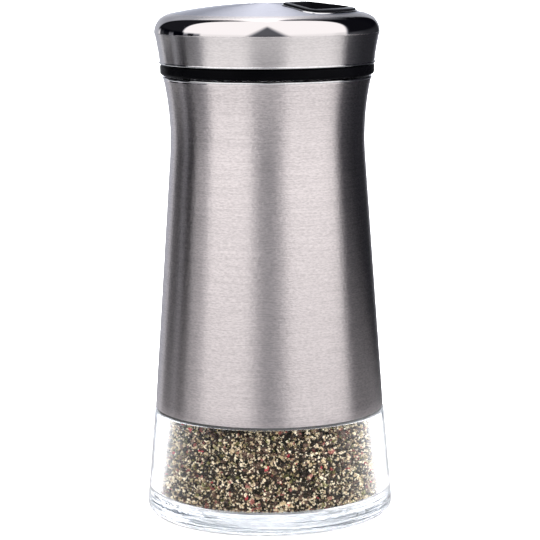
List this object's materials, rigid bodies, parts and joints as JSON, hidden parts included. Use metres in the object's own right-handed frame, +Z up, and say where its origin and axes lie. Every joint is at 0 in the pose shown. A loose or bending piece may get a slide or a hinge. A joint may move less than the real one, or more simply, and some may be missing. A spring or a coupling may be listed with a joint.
{
  "type": "spice shaker",
  "caption": "Table spice shaker: glass jar in a waisted steel sleeve, with a screw cap whose steel top turns over pour holes of several sizes.",
  "frame": {"origin": "centre of the jar's foot, on the surface the shaker stands on", "axes": "+Z up the shaker's axis, -Y towards the front, +X to the right; the closed dial window points to the front right, 28 degrees from +X"},
  "size_m": [0.06, 0.06, 0.1237],
  "materials": {
    "clear_glass": "clear pressed soda-lime glass with a thick foot",
    "ground_spice": "coarse ground mixed pepper: cream, dark brown, red and green flakes",
    "seal_rubber": "dark cured silicone bead",
    "brushed_sleeve": "stainless sheet with fine brushing round the body",
    "bond_adhesive": "cured pale adhesive",
    "gasket_foam": "white pressed foam liner",
    "black_collar": "glossy black moulded plastic",
    "black_plate": "black moulded plastic, fine matt, with the pour holes",
    "black_liner": "black moulded plastic, fine matt",
    "black_bezel": "glossy black moulded plastic trim",
    "polished_cap": "stainless sheet, satin crown, mirror-polished shoulder and brushed skirt",
    "washer_steel": "plain stamped stainless",
    "screw_steel": "plain stainless pan head"
  },
  "bodies": {
    "jar": {"glass_jar": "clear_glass", "spice_fill": "ground_spice", "sleeve_foot_seal": "seal_rubber", "steel_sleeve": "brushed_sleeve", "sleeve_bond_ring": "bond_adhesive"},
    "lid_seal": {"neck_gasket": "gasket_foam"},
    "collar": {"screw_collar": "black_collar", "pour_plate": "black_plate"},
    "dial": {"cap_shell": "polished_cap", "dial_liner": "black_liner", "window_bezel": "black_bezel", "cap_bond_bead": "bond_adhesive", "hub_washer": "washer_steel", "hub_screw": "screw_steel"}
  },
  "joints": [
    {"name": "cap_rise", "type": "slide", "parent": "jar", "child": "lid_seal", "axis": [0, 0, 1], "range_m": [0, 0.00847]},
    {"name": "cap_unscrew", "type": "hinge", "parent": "lid_seal", "child": "collar", "pos_m": [0, 0, 0.11], "axis": [0, 0, 1], "range_deg": [0, 720]},
    {"name": "dial_turn", "type": "hinge", "parent": "collar", "child": "dial", "pos_m": [0, 0, 0.12], "axis": [0, 0, 1], "continuous": true}
  ],
  "couplings": [
    {"joint": "cap_unscrew", "follows": "cap_rise", "rad_per_m": 1484.3}
  ]
}
